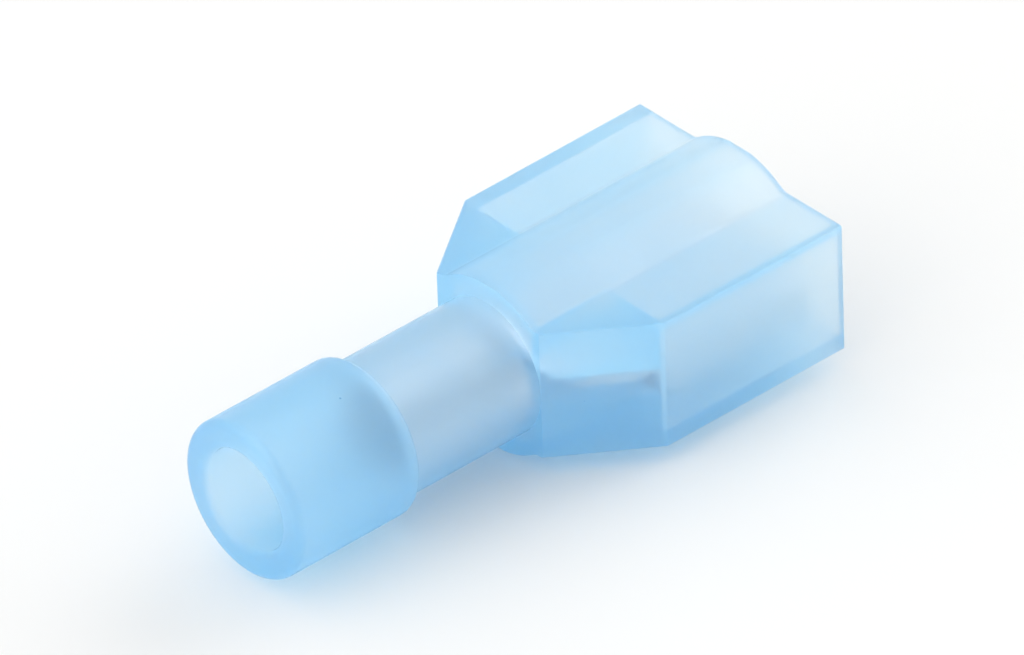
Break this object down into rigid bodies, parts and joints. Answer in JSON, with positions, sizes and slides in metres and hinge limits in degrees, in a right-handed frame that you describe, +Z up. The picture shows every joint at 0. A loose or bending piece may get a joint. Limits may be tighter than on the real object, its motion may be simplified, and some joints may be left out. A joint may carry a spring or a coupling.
{
  "type": "insulated female spade terminal",
  "caption": "Push-on crimp terminal: translucent blue nylon housing with a round wire collar and a flat hood around a rolled receptacle of tinned brass for a flat tab.",
  "frame": {"origin": "centre of the wire entry, on the wire axis, at the collar's front face", "axes": "+X along the wire axis from the wire entry to the hood's mouth, +Z up with the hood lying flat on its lower hump"},
  "size_m": [0.0215, 0.0096, 0.0062],
  "materials": {
    "nylon": "moulded translucent blue nylon, softly glossy",
    "tinned_brass": "bright tin plating on brass strip"
  },
  "bodies": {
    "root": {"housing": "nylon", "contact": "tinned_brass"}
  },
  "joints": []
}
